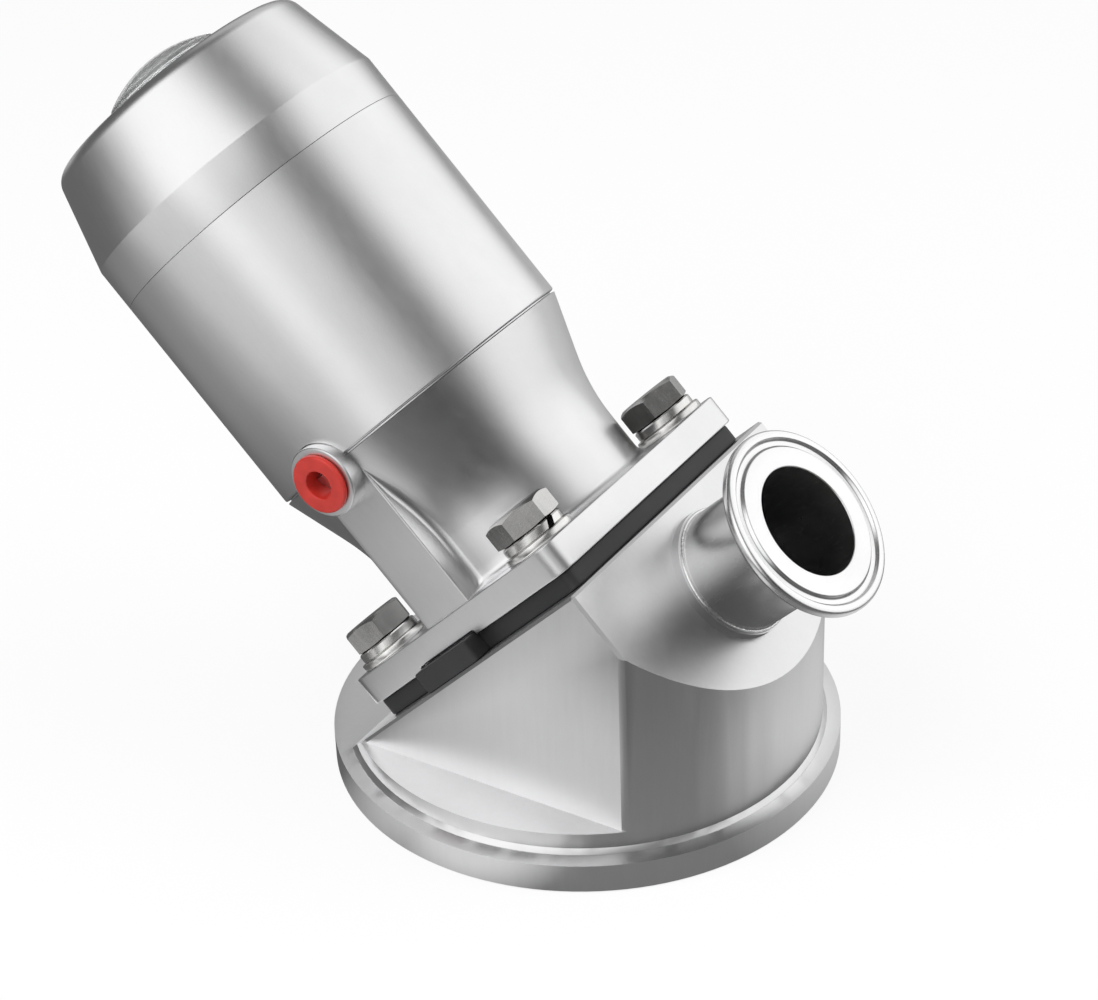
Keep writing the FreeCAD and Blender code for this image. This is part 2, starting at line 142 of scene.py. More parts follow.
def noise(tree, vector, scale, detail, roughness=0.55):
    node = addNode(tree, "ShaderNodeTexNoise", {
        "Vector": vector, "Scale": scale, "Detail": detail, "Roughness": roughness})
    return node.outputs["Fac"]


def shades(look):
    # the darkest and the lightest shade of a finish
    return [[min(c * (1 + side * look["contrast"]), 1) for c in look["colour"]] for side in (-1, 1)]


def bumps(tree, height, look):
    node = addNode(tree, "ShaderNodeBump", {
        "Height": height, "Strength": look["bumpStrength"], "Distance": look["bumpDepth"] * mm})
    return node.outputs["Normal"]


toActuator = (0, -leanAngle, 0)   # turns world coordinates so that Z runs up the actuator
toOutlet = (0, leanAngle, 0)
upright = (0, 0, 0)


def satinMetal(name, look):
    # blasted or brushed metal: cloudy tone, fine grain, faint streaks along or round the piece
    material, tree, shader = newFinish(name)
    onPiece = placedCoordinates(tree, look["turn"])
    drawn = placedCoordinates(tree, look["turn"], look["stretch"])
    cloud = noise(tree, onPiece, look["cloudScale"], look["cloudDetail"])
    streak = noise(tree, drawn, look["streakScale"], look["streakDetail"], look["streakRoughness"])
    grain = noise(tree, onPiece, look["grainScale"], look["grainDetail"])
    tone = mixValues(tree, cloud, streak, look["streakShare"])
    gloss = mixValues(tree, streak, grain, look["grainGloss"])
    relief = mixValues(tree, grain, streak, look["streakRelief"])
    feed(tree, shader, {
        "Metallic": 1.0, "Base Color": ramp(tree, tone, shades(look), look["toneStops"]),
        "Roughness": span(tree, gloss, *look["glossStops"], *look["roughness"]),
        "Normal": bumps(tree, relief, look)})
    return material


blastedLook = {
    "colour": (0.76, 0.76, 0.765), "contrast": 0.05, "toneStops": (0.3, 0.7),
    "turn": toActuator, "stretch": (1, 1, 6), "cloudScale": 30, "cloudDetail": 4,
    "streakScale": 160, "streakDetail": 5, "streakRoughness": 0.65, "streakShare": 0.35,
    "grainScale": 2600, "grainDetail": 2, "grainGloss": 0.5, "glossStops": (0.25, 0.75),
    "roughness": (0.27, 0.36), "streakRelief": 0.1, "bumpStrength": 0.35, "bumpDepth": 0.05,
}
bodyLook = dict(blastedLook, colour=(0.74, 0.74, 0.745), turn=upright, stretch=(1, 1, 0.08),
                streakScale=700, streakRelief=0.35, roughness=(0.3, 0.4), bumpDepth=0.025)
outletLook = dict(blastedLook, colour=(0.80, 0.80, 0.80), turn=toOutlet, stretch=(1, 1, 8), streakScale=220,
                  roughness=(0.2, 0.3), bumpDepth=0.02)
washerLook = dict(blastedLook, colour=(0.76, 0.755, 0.74), contrast=0.14, roughness=(0.16, 0.3),
                  grainScale=1400, bumpDepth=0.03)
fastenerLook = dict(washerLook, colour=(0.52, 0.515, 0.505), contrast=0.2)
stemLook = dict(blastedLook, colour=(0.62, 0.62, 0.63), stretch=(1, 1, 20), streakScale=500,
                roughness=(0.15, 0.25))
springLook = dict(blastedLook, colour=(0.42, 0.43, 0.45), roughness=(0.25, 0.38), contrast=0.12)
aluminiumLook = dict(blastedLook, colour=(0.77, 0.78, 0.79), stretch=(1, 1, 14), streakScale=400,
                     roughness=(0.28, 0.4))
bronzeLook = dict(blastedLook, colour=(0.62, 0.42, 0.2), contrast=0.12, roughness=(0.25, 0.42))


def moulded(name, look):
    # rubber or plastic with a fine moulded skin and dull patches
    material, tree, shader = newFinish(name)
    onPiece = placedCoordinates(tree, toActuator)
    patch = noise(tree, onPiece, look["patchScale"], look["patchDetail"])
    skin = noise(tree, onPiece, look["skinScale"], look["skinDetail"])
    feed(tree, shader, {
        "Base Color": ramp(tree, patch, shades(look), look["toneStops"]),
        "Roughness": span(tree, patch, *look["glossStops"], *look["roughness"]),
        "Normal": bumps(tree, skin, look), "Specular IOR Level": look["specular"]})
    return material


rubberLook = {
    "colour": (0.022, 0.022, 0.023), "contrast": 0.3, "toneStops": (0.3, 0.72), "glossStops": (0.3, 0.7),
    "patchScale": 60, "patchDetail": 4, "skinScale": 1800, "skinDetail": 3,
    "roughness": (0.45, 0.62), "bumpStrength": 0.4, "bumpDepth": 0.06, "specular": 0.5,
}
sealLook = dict(rubberLook, colour=(0.03, 0.03, 0.032), roughness=(0.35, 0.5))
plugLook = dict(rubberLook, colour=(0.48, 0.028, 0.02), contrast=0.14, patchScale=220, skinScale=2200,
                roughness=(0.3, 0.45), bumpStrength=0.25, bumpDepth=0.03)
knobLook = dict(plugLook, colour=(0.02, 0.02, 0.021), contrast=0.2)


def clearPlastic(name, look):
    # polycarbonate, faintly hazed
    material, tree, shader = newFinish(name)
    haze = noise(tree, placedCoordinates(tree, toActuator), look["hazeScale"], look["hazeDetail"])
    feed(tree, shader, {
        "Base Color": ramp(tree, haze, (look["colour"], look["hazeColour"]), look["toneStops"]),
        "Roughness": span(tree, haze, *look["glossStops"], *look["roughness"]),
        "Transmission Weight": look["transmission"], "IOR": look["ior"]})
    return material


domeLook = {
    "colour": (0.93, 0.94, 0.94), "hazeColour": (0.82, 0.83, 0.83), "hazeScale": 90, "hazeDetail": 3,
    "toneStops": (0.35, 0.75), "glossStops": (0.3, 0.7), "roughness": (0.03, 0.1),
    "transmission": 0.85, "ior": 1.5,
}

finishes = {
    "body": satinMetal("bodySteel", bodyLook),
    "outlet": satinMetal("outletSteel", outletLook),
    "bonnet": satinMetal("bonnetSteel", dict(blastedLook, stretch=(1, 1, 3))),
    "cylinder": satinMetal("cylinderSteel", blastedLook),
    "cap": satinMetal("capSteel", dict(blastedLook, cloudScale=24)),
    "fastener": satinMetal("fastenerSteel", fastenerLook),
    "washer": satinMetal("washerSteel", washerLook),
    "stem": satinMetal("stemSteel", stemLook),
    "spring": satinMetal("springSteel", springLook),
    "aluminium": satinMetal("pistonAluminium", aluminiumLook),
    "bronze": satinMetal("bushBronze", bronzeLook),
    "rubber": moulded("diaphragmRubber", rubberLook),
    "seal": moulded("sealRubber", sealLook),
    "plug": moulded("plugPlastic", plugLook),
    "knob": moulded("knobPlastic", knobLook),
    "dome": clearPlastic("domeClear", domeLook),
}
print("finishes", len(finishes))


# mesh helpers

nearlyStraight = radians(88)   # half a corner's angle, past which it isn't rounded
sideShare = 0.48   # how much of a side one rounding may take
mergeWithin = 1e-5   # vertices closer together than this become one


def cornerArc(before, corner, after, radius, steps):
    # points of the arc that rounds one corner of an outline
    toBefore, toAfter = before - corner, after - corner
    half = toBefore.angle(toAfter) / 2
    if radius <= 0 or half > nearlyStraight:
        return [corner]
    reach = min(radius / tan(half), sideShare * toBefore.length, sideShare * toAfter.length)
    bisector = (toBefore.normalized() + toAfter.normalized()).normalized()
    centre = corner + bisector * reach / cos(half)
    start = corner + toBefore.normalized() * reach - centre
    end = corner + toAfter.normalized() * reach - centre
    sweep = start.angle_signed(end)
    return [centre + Matrix.Rotation(-sweep * i / steps, 2) @ start for i in range(steps + 1)]


def roundedOutline(corners, steps):
    # corners are (x, y, rounding); the outline is closed
    spots = [Vector(corner[:2]) for corner in corners]
    points = []
    for i, corner in enumerate(corners):
        points += cornerArc(spots[i - 1], spots[i], spots[(i + 1) % len(spots)], corner[2], steps)
    return points


def boxCorners(xLow, xHigh, yLow, yHigh, rounds=(0, 0, 0, 0)):
    spots = ((xLow, yLow), (xHigh, yLow), (xHigh, yHigh), (xLow, yHigh))
    return [(x, y, rounding) for (x, y), rounding in zip(spots, rounds)]


def bridge(bm, rings, capped=False):
    # joins each ring of vertices to the next; a ring of one vertex is a pole
    for one, two in zip(rings, rings[1:]):
        count = max(len(one), len(two))
        for i in range(count):
            j = (i + 1) % count
            spots = (one[i % len(one)], one[j % len(one)], two[j % len(two)], two[i % len(two)])
            face = list(dict.fromkeys(spots))
            if len(face) > 2:
                bm.faces.new(face)
    if capped:
        bm.faces.new(rings[0])
        bm.faces.new(rings[-1])


def newPiece(name, mesh, material, sharp):
    mesh.shade_smooth()
    mesh.set_sharp_from_angle(angle=radians(sharp))
    mesh.materials.clear()
    mesh.materials.append(material)
    piece = bpy.data.objects.new(name, mesh)
    scene.collection.objects.link(piece)
    return piece


def meshPiece(name, bm, place, material, sharp=32, scale=mm):
    bmesh.ops.remove_doubles(bm, verts=bm.verts, dist=mergeWithin)
    bmesh.ops.recalc_face_normals(bm, faces=bm.faces)
    mesh = bpy.data.meshes.new(name)
    bm.to_mesh(mesh)
    bm.free()
    mesh.transform(place @ Matrix.Diagonal((scale, scale, scale, 1)))
    return newPiece(name, mesh, material, sharp)


def turnedMesh(corners, around, arcSteps):
    # turns a closed (radius, height, rounding) outline about Z; a point on the axis is one vertex
    bm = bmesh.new()
    rings = []
    for radius, height in roundedOutline(corners, arcSteps):
        angles = [2 * pi * i / around for i in range(around if radius > mergeWithin else 1)]
        rings.append([bm.verts.new((radius * cos(a), radius * sin(a), height)) for a in angles])
    bridge(bm, rings + rings[:1])
    return bm


def turnedPiece(name, corners, place, material, around=144, arcSteps=4):
    return meshPiece(name, turnedMesh(corners, around, arcSteps), place, material)


def extrudedMesh(corners, low, high, arcSteps=6):
    # a closed (x, y, rounding) outline drawn up from low to high
    bm = bmesh.new()
    points = roundedOutline(corners, arcSteps)
    bridge(bm, [[bm.verts.new((p.x, p.y, level)) for p in points] for level in (low, high)], capped=True)
    return bm


def plateMesh(size, along=30, cornerStep=9):
    # square plate with rounded corners and a round hole, its faces running out from the hole
    half, corner = size["half"], size["corner"]
    flat = half - corner
    turns = [radians(a) for a in range(0, 90, cornerStep)]
    side = [Vector((half, flat * (2 * i / along - 1))) for i in range(along)]
    side += [Vector((flat + corner * cos(a), flat + corner * sin(a))) for a in turns]
    outer = [Matrix.Rotation(quarter * pi / 2, 2) @ p for quarter in range(4) for p in side]
    inner = [p.normalized() * size["hole"] for p in outer]
    bm = bmesh.new()
    loops = ((inner, size["low"]), (outer, size["low"]), (outer, size["high"]), (inner, size["high"]))
    rings = [[bm.verts.new((p.x, p.y, level)) for p in points] for points, level in loops]
    bridge(bm, rings + rings[:1])
    return bm


def evaluated(piece):
    bpy.context.view_layer.update()
    return bpy.data.meshes.new_from_object(piece.evaluated_get(bpy.context.evaluated_depsgraph_get()))


def carve(piece, cutter):
    # cuts the cutter's shape out, then removes the cutter
    modifier = piece.modifiers.new("carve", "BOOLEAN")
    modifier.operation, modifier.object, modifier.solver = "DIFFERENCE", cutter, "EXACT"
    mesh = evaluated(piece)
    piece.modifiers.clear()
    piece.data = mesh
    bpy.data.objects.remove(cutter)


def trueRound(piece, place, radius, within=0.02, facing=0.97):
    # a round wall that was cut keeps the shading of the whole wall
    mesh = piece.data
    toPlace = place.inverted()
    normals = [corner.vector.copy() for corner in mesh.corner_normals]
    for polygon in mesh.polygons:
        faceNormal = toPlace.to_3x3() @ polygon.normal
        for k in polygon.loop_indices:
            spot = toPlace @ mesh.vertices[mesh.loops[k].vertex_index].co
            outward = Vector((spot.x, spot.y, 0))
            onWall = abs(outward.length - radius * mm) < within * mm
            if onWall and faceNormal.dot(outward.normalized()) > facing:
                normals[k] = place.to_3x3() @ outward.normalized()
    mesh.normals_split_custom_set(normals)


def softEdges(piece, width, steps=3, sharp=28):
    # small rounded edges that catch the light
    modifier = piece.modifiers.new("softEdges", "BEVEL")
    modifier.width, modifier.segments = width * mm, steps
    modifier.limit_method, modifier.angle_limit = "ANGLE", radians(sharp)
    modifier.harden_normals = True
    modifier.miter_outer = "MITER_ARC"


def settle(piece, body, slot, *nodes):
    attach(piece, body)
    if nodes:
        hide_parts(*nodes)


# Geometry Nodes helpers

def newTree(name, sizes):
    # a tree with a named input for each size; an input without a value takes an object
    tree = bpy.data.node_groups.new(name, "GeometryNodeTree")
    tree.interface.new_socket("Geometry", in_out="INPUT", socket_type="NodeSocketGeometry")
    for label, value in sizes.items():
        kind = "NodeSocketObject" if value is None else "NodeSocketFloat"
        socket = tree.interface.new_socket(label, in_out="INPUT", socket_type=kind)
        if value is not None:
            socket.default_value = value
    tree.interface.new_socket("Geometry", in_out="OUTPUT", socket_type="NodeSocketGeometry")
    return tree, tree.nodes.new("NodeGroupInput").outputs


def endTree(tree, geometry, material):
    real = addNode(tree, "GeometryNodeRealizeInstances", {"Geometry": geometry})
    painted = addNode(tree, "GeometryNodeSetMaterial", {
        "Geometry": real.outputs["Geometry"], "Material": material})
    addNode(tree, "NodeGroupOutput", {"Geometry": painted.outputs["Geometry"]})


def grow(name, tree, place, values, material, sharp=30):
    # runs a tree on an empty mesh and keeps the plain result
    holder = bpy.data.objects.new(name + "Holder", bpy.data.meshes.new(name + "Holder"))
    scene.collection.objects.link(holder)
    modifier = holder.modifiers.new("grow", "NODES")
    modifier.node_group = tree
    for socket in tree.interface.items_tree:
        if socket.item_type == "SOCKET" and socket.in_out == "INPUT" and socket.name in values:
            modifier[socket.identifier] = values[socket.name]
    mesh = evaluated(holder)
    bpy.data.objects.remove(holder)
    mesh.name = name
    mesh.transform(place @ Matrix.Diagonal((mm, mm, mm, 1)))
    return newPiece(name, mesh, material, sharp)


# valve body: the node's own surface, merged, with its flat faces made whole and its edges softened

bodySize = {"mergeWithin": 0.002, "flatness": 0.3, "sharp": 24, "edge": 0.35, "edgeSteps": 2}


def bodyPiece(name, node, size):
    bm = bmesh.new()
    bm.from_mesh(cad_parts[node].data)
    bmesh.ops.remove_doubles(bm, verts=bm.verts, dist=size["mergeWithin"] * mm)
    bmesh.ops.dissolve_limit(bm, angle_limit=radians(size["flatness"]), verts=bm.verts, edges=bm.edges)
    mesh = bpy.data.meshes.new(name)
    bm.to_mesh(mesh)
    bm.free()
    piece = newPiece(name, mesh, finishes["body"], size["sharp"])
    facing = {}
    for polygon in mesh.polygons:
        for key in polygon.edge_keys:
            facing.setdefault(key, []).append(polygon.normal.copy())
    for polygon in mesh.polygons:
        beside = [facing[key] for key in polygon.edge_keys]
        bends = [degrees(normals[0].angle(normals[-1], 0)) for normals in beside]
        polygon.use_smooth = any(size["flatness"] < bend < size["sharp"] for bend in bends)
    return piece


valveBody = bodyPiece("valveBody", "valve_body", bodySize)
softEdges(valveBody, bodySize["edge"], bodySize["edgeSteps"])
settle(valveBody, "housing", "body_steel", "valve_body")
print("valve body", len(valveBody.data.polygons))


# outlet tube, its weld and the clamp ferrule

tubeSize = {"foot": 78.6, "head": 86.9}
tubeCorners = boxCorners(tubeBore, tubeRadius, tubeSize["foot"], tubeSize["head"])
outletTube = turnedPiece("outletTube", tubeCorners, outletPlace, finishes["outlet"])
settle(outletTube, "housing", "ferrule_steel", "outlet_tube")

weldHeight = 78.9
weldSteps = {"ring": 900, "bead": 12}
weldSize = {"Radius": 17.05, "Bead Radius": 0.5, "Ripples": 140.0, "Ripple Share": 0.09}   # the tree's inputs
weldTree, weldIn = newTree("weldBead", weldSize)
weldRing = addNode(weldTree, "GeometryNodeCurvePrimitiveCircle", {
    "Resolution": weldSteps["ring"], "Radius": weldIn["Radius"]})
weldAlong = addNode(weldTree, "GeometryNodeSplineParameter").outputs["Factor"]
weldPhase = calculate(weldTree, "MULTIPLY", weldAlong, weldIn["Ripples"])
weldWave = calculate(weldTree, "SINE", calculate(weldTree, "MULTIPLY", weldPhase, 2 * pi))
weldSwell = calculate(weldTree, "MULTIPLY_ADD", weldWave, weldIn["Ripple Share"], 1.0)
weldPath = addNode(weldTree, "GeometryNodeSetCurveRadius", {
    "Curve": weldRing.outputs["Curve"], "Radius": weldSwell})
weldProfile = addNode(weldTree, "GeometryNodeCurvePrimitiveCircle", {
    "Resolution": weldSteps["bead"], "Radius": weldIn["Bead Radius"]})
weldBead = addNode(weldTree, "GeometryNodeCurveToMesh", {
    "Curve": weldPath.outputs["Curve"], "Profile Curve": weldProfile.outputs["Curve"]})
endTree(weldTree, weldBead.outputs["Mesh"], finishes["outlet"])
weldPlace = outletPlace @ Matrix.Translation((0, 0, weldHeight * mm))
tubeWeld = grow("tubeWeld", weldTree, weldPlace, weldSize, finishes["outlet"])
settle(tubeWeld, "housing", "ferrule_steel")

ferruleSize = {
    "foot": 86.8, "face": 108.0, "boreRound": 0.35,
    "rim": 25.25, "rimThick": 2.85, "backRise": 2.85,
    "neckRound": 2.2, "backRound": 1.35, "frontRound": 1.25,
    "grooveIn": 20.6, "grooveOut": 22.6, "grooveDepth": 1.0, "grooveRound": 0.6, "lipRound": 0.45,
    "lipOut": 0.3, "floorIn": 0.25,
}


def ferruleCorners(size):
    back = size["face"] - size["rimThick"]
    grooveFloor = size["face"] - size["grooveDepth"]
    return [(tubeBore, size["foot"], 0), (tubeRadius, size["foot"], 0),
            (tubeRadius, back - size["backRise"], size["neckRound"]),
            (size["rim"], back, size["backRound"]), (size["rim"], size["face"], size["frontRound"]),
            (size["grooveOut"] + size["lipOut"], size["face"], size["lipRound"]),
            (size["grooveOut"] - size["floorIn"], grooveFloor, size["grooveRound"]),
            (size["grooveIn"] + size["floorIn"], grooveFloor, size["grooveRound"]),
            (size["grooveIn"] - size["lipOut"], size["face"], size["lipRound"]),
            (tubeBore, size["face"], size["boreRound"])]


outletFerrule = turnedPiece("outletFerrule", ferruleCorners(ferruleSize), outletPlace, finishes["outlet"],
                            around=160, arcSteps=5)
settle(outletFerrule, "housing", "ferrule_steel", "outlet_ferrule")
print("outlet")


# diaphragm: clamped rim with its tab, and the membrane in leaves

rimSize = {"half": 42.0, "corner": 3.0, "low": membraneFoot, "high": 43.2, "hole": membraneRadius,
           "edge": 0.6}
diaphragmRim = meshPiece("diaphragmRim", plateMesh(rimSize), actuatorPlace, finishes["rubber"])
softEdges(diaphragmRim, rimSize["edge"])
settle(diaphragmRim, "housing", "diaphragm_rubber", "diaphragm")

tabSize = {"from": -17.75, "to": 4.75, "reach": 48.4, "root": 40.0, "round": 1.2, "top": 44.2, "edge": 0.5}
tabCorners = boxCorners(tabSize["from"], tabSize["to"], -tabSize["reach"], -tabSize["root"],
                        (tabSize["round"],) * 4)
diaphragmTab = meshPiece("diaphragmTab", extrudedMesh(tabCorners, membraneFoot, tabSize["top"]),
                         actuatorPlace, finishes["rubber"])
softEdges(diaphragmTab, tabSize["edge"])
settle(diaphragmTab, "housing", "diaphragm_rubber")

leafSize = {
    "leaves": 6, "rows": 14, "columns": 8, "thick": 5.0, "studHole": 4.0,
    "saddle": 2.7, "edgeLift": 20, "holdRadius": 23.2, "liftRadius": 9.0,
}


def membraneLeaf(size, index):
    # one sector of the membrane, thick, dished and closed all round
    bm = bmesh.new()
    sector = 2 * pi / size["leaves"]
    rings = []
    for r in range(size["rows"] + 1):
        radius = size["studHole"] + (membraneRadius - size["studHole"]) * r / size["rows"]
        rimFade = (radius / membraneRadius) ** size["edgeLift"]   # the dish runs out at the rim
        under = []
        for c in range(size["columns"] + 1):
            angle = sector * (index + c / size["columns"] - 0.5)
            x, y = radius * cos(angle), radius * sin(angle)
            dish = size["saddle"] * (1 - (y / membraneRadius) ** 2) * (1 - rimFade)
            under.append(Vector((x, y, membraneFoot - dish)))
        over = [spot + Vector((0, 0, size["thick"])) for spot in reversed(under)]
        rings.append([bm.verts.new(spot) for spot in under + over])
    bridge(bm, rings)
    for ring in (rings[0], rings[-1]):
        for c in range(size["columns"]):
            bm.faces.new((ring[c], ring[c + 1], ring[-c - 2], ring[-c - 1]))
    leaf = meshPiece("diaphragmLeaf%d" % (index + 1), bm, actuatorPlace, finishes["rubber"])
    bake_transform(leaf)


for leafIndex in range(leafSize["leaves"]):
    membraneLeaf(leafSize, leafIndex)
print("diaphragm")


# bonnet: square flange, and one skin for neck, pad and cone

flangeSize = {"half": 43.8, "corner": 5.0, "low": 43.25, "high": flangeTop, "hole": chamberRadius,
              "edge": 0.45}
# the notch for the tab
notchSize = {"from": -18.55, "to": 5.55, "outside": 50, "root": 41.7, "under": 40, "top": 44.6}
bonnetFlange = meshPiece("bonnetFlange", plateMesh(flangeSize), actuatorPlace, finishes["bonnet"])
notchCorners = boxCorners(notchSize["from"], notchSize["to"], -notchSize["outside"], -notchSize["root"])
notchMesh = extrudedMesh(notchCorners, notchSize["under"], notchSize["top"])
carve(bonnetFlange, meshPiece("tabNotch", notchMesh, actuatorPlace, finishes["bonnet"]))
softEdges(bonnetFlange, flangeSize["edge"])
settle(bonnetFlange, "housing", "bonnet_steel")

neckSize = {
    "foot": 51.2, "radius": 36.22, "fillet": 2.5, "filletTurn": 15,
    "bend": 73.4, "bendRound": 9.0, "coneTop": 99.45,
    # the loft's sections, as (first height, step, how many)
    "sections": [(56, 2.5, 5), (67, 1.5, 10), (82.5, 1.2, 14), (98.85, 0, 1)],
    "padFace": 42.2, "padHalf": 9.3, "padCorner": 0.55, "cornerShare": 0.3,
    "padFillet": 2.6, "filletShare": 0.75, "leastDepth": 0.02, "faceShare": 0.93,
    "faceSteps": 8, "arcSteps": 5, "filletSteps": 8, "aroundSteps": 72, "sharp": 34,
    "lip": 0.5, "lipHeight": 99.0, "groove": 1.3, "grooveHeight": 99.1, "spigotTop": 108.5,
    # the hollow inside, from the top down
    "bore": 36.0, "septumTop": 94.3, "stemHole": 7.1, "bushTop": 87.0, "bushHole": 9.55, "septumFoot": 73.3,
}


def coneRadius(size, height):
    # straight neck, then a cone, with a soft bend between them and a fillet at the foot
    slope = (actuatorRadius - size["radius"]) / (size["coneTop"] - size["bend"])
    over = height - size["bend"]
    soft = size["bendRound"]
    if over <= -soft:
        rise = 0
    elif over >= soft:
        rise = slope * over
    else:
        rise = slope * (over + soft) ** 2 / (4 * soft)
    near = flangeTop + size["fillet"] - height
    foot = size["fillet"] - sqrt(max(size["fillet"] ** 2 - near ** 2, 0)) if near > 0 else 0
    return size["radius"] + rise + min(foot, size["fillet"])


def neckSection(size, radius):
    # half outline from the pad's middle round to the back, always with as many points
    half, face = size["padHalf"], size["padFace"]
    wall = Vector((half, -sqrt(radius ** 2 - half ** 2)))   # where the pad's side meets the round neck
    depth = face - sqrt(radius ** 2 - half ** 2)
    padStands = depth >= size["leastDepth"]
    points = []
    for i in range(size["faceSteps"]):
        x = half * size["faceShare"] * i / size["faceSteps"]
        points.append(Vector((x, -face if padStands else -sqrt(radius ** 2 - x ** 2))))
    if padStands:
        soft = min(size["padCorner"], size["cornerShare"] * depth)
        points += cornerArc(Vector((0, -face)), Vector((half, -face)), wall, soft, size["arcSteps"])
    else:
        points += [wall] * (size["arcSteps"] + 1)
    # the fillet touches the pad's side and, from outside, the round neck
    fillet = min(size["padFillet"], size["filletShare"] * max(depth, 0))
    centre = Vector((half + fillet, -sqrt((radius + fillet) ** 2 - (half + fillet) ** 2)))
    turn = atan2(-centre.y, -centre.x) - pi
    for i in range(size["filletSteps"] + 1):
        angle = pi + turn * i / size["filletSteps"]
        points.append(centre + Vector((cos(angle), sin(angle))) * fillet)
    last = atan2(points[-1].y, points[-1].x)
    for i in range(1, size["aroundSteps"] + 1):
        angle = last + (pi / 2 - last) * i / size["aroundSteps"]
        points.append(Vector((radius * cos(angle), radius * sin(angle))))
    return points


def neckMesh(size):
    bm = bmesh.new()
    turns = [radians(a) for a in range(0, 91, size["filletTurn"])]
    heights = [size["foot"]] + [flangeTop + size["fillet"] * (1 - cos(a)) for a in turns]
    for first, step, count in size["sections"]:
        heights += [first + step * i for i in range(count)]
    rings = []
    for height in heights:
        half = neckSection(size, coneRadius(size, height))
        whole = half + [Vector((-p.x, p.y)) for p in reversed(half[1:-1])]
        rings.append([bm.verts.new((p.x, p.y, height)) for p in whole])
    shoulder = actuatorRadius - size["groove"]
    closing = [(actuatorRadius - size["lip"], size["lipHeight"]), (shoulder, size["grooveHeight"]),
               (shoulder, size["coneTop"]), (spigotRadius, size["coneTop"]),
               (spigotRadius, size["spigotTop"]),
               (size["bore"], size["spigotTop"]), (size["bore"], size["septumTop"]),
               (size["stemHole"], size["septumTop"]), (size["stemHole"], size["bushTop"]),
               (size["bushHole"], size["bushTop"]), (size["bushHole"], size["septumFoot"]),
               (chamberRadius, size["septumFoot"]), (chamberRadius, size["foot"])]
    for radius, height in closing:
        spots = [v.co.xy.normalized() * radius for v in rings[-1]]
        rings.append([bm.verts.new((p.x, p.y, height)) for p in spots])
    bridge(bm, rings + rings[:1])
    return bm


bonnetNeck = meshPiece("bonnetNeck", neckMesh(neckSize), actuatorPlace, finishes["bonnet"], neckSize["sharp"])
settle(bonnetNeck, "housing", "bonnet_steel", "bonnet")

bossSize = {"radius": 9.75, "hole": 5.9, "face": 47.2, "back": 36.2, "height": 97.4,
            "round": 0.5, "holeRound": 0.3}
bossPlace = actuatorPlace @ placeFrom(Vector((1, 0, 0)), Vector((0, 0, 1)), Vector((0, -1, 0)),
                                      Vector((0, 0, bossSize["height"] * mm)))
bossCorners = boxCorners(bossSize["hole"], bossSize["radius"], bossSize["back"], bossSize["face"],
                         (0, 0, bossSize["round"], bossSize["holeRound"]))
portBoss = turnedPiece("portBoss", bossCorners, bossPlace, finishes["bonnet"], around=96)
settle(portBoss, "housing", "bonnet_steel")
print("bonnet", len(bonnetNeck.data.polygons))


# bolts, lock washers and flat washers, spread by one tree

boltStation = 33.0
boltSize = {
    "flats": 16.6, "foot": 56.0, "top": 62.6, "shank": 5.0, "reach": 22.0, "gap": 0.01, "columns": 72,
    "rimShare": 0.93, "chamfer": 28, "underEdge": 0.15, "underShare": 0.4, "dishShare": 0.86, "dish": 0.12,
    "firstTurn": 75.0, "turnStep": 15.0,
}
lockSize = {
    "outer": 8.9, "inner": 5.35, "low": 53.42, "high": 55.97, "corner": 0.35, "columns": 64,
    "slit": 7, "lean": 9, "firstTurn": 200.0, "turnStep": 75.0,
}
flatSize = {
    "outer": 10.0, "inner": 5.5, "low": 51.42, "high": 53.4, "round": 0.35, "holeRound": 0.2,
    "firstTurn": 0.0, "turnStep": 0.0,
}


def hexHead(size):
    # hexagon with both chamfers, a dished top rim and its shank
    bm = bmesh.new()
    rim = size["flats"] / 2 * size["rimShare"]
    under = size["foot"] + size["gap"]
    columns = []
    for i in range(size["columns"]):
        angle = 2 * pi * i / size["columns"]
        side = size["flats"] / 2 / cos((angle % (pi / 3)) - pi / 6)
        drop = max(side - rim, 0) * tan(radians(size["chamfer"]))
        profile = [(size["shank"], size["reach"]), (size["shank"], under), (rim, under),
                   (side, size["foot"] + size["underEdge"] + size["underShare"] * drop),
                   (side, size["top"] - drop), (rim, size["top"]),
                   (rim * size["dishShare"], size["top"] - size["dish"])]
        columns.append([bm.verts.new((r * cos(angle), r * sin(angle), height)) for r, height in profile])
    bridge(bm, list(zip(*columns)), capped=True)
    return bm


def lockRing(size):
    # split ring with a slanted slit
    bm = bmesh.new()
    thick = size["high"] - size["low"]
    outline = roundedOutline(boxCorners(size["inner"], size["outer"], 0, thick, (size["corner"],) * 4), 1)
    sections = []
    for i in range(size["columns"] + 1):
        turn = size["slit"] + (360 - 2 * size["slit"]) * i / size["columns"]
        section = []
        for radius, level in outline:
            angle = radians(turn + size["lean"] * (level / thick - 0.5))
            section.append(bm.verts.new((radius * cos(angle), radius * sin(angle), size["low"] + level)))
        sections.append(section)
    bridge(bm, sections, capped=True)
    return bm


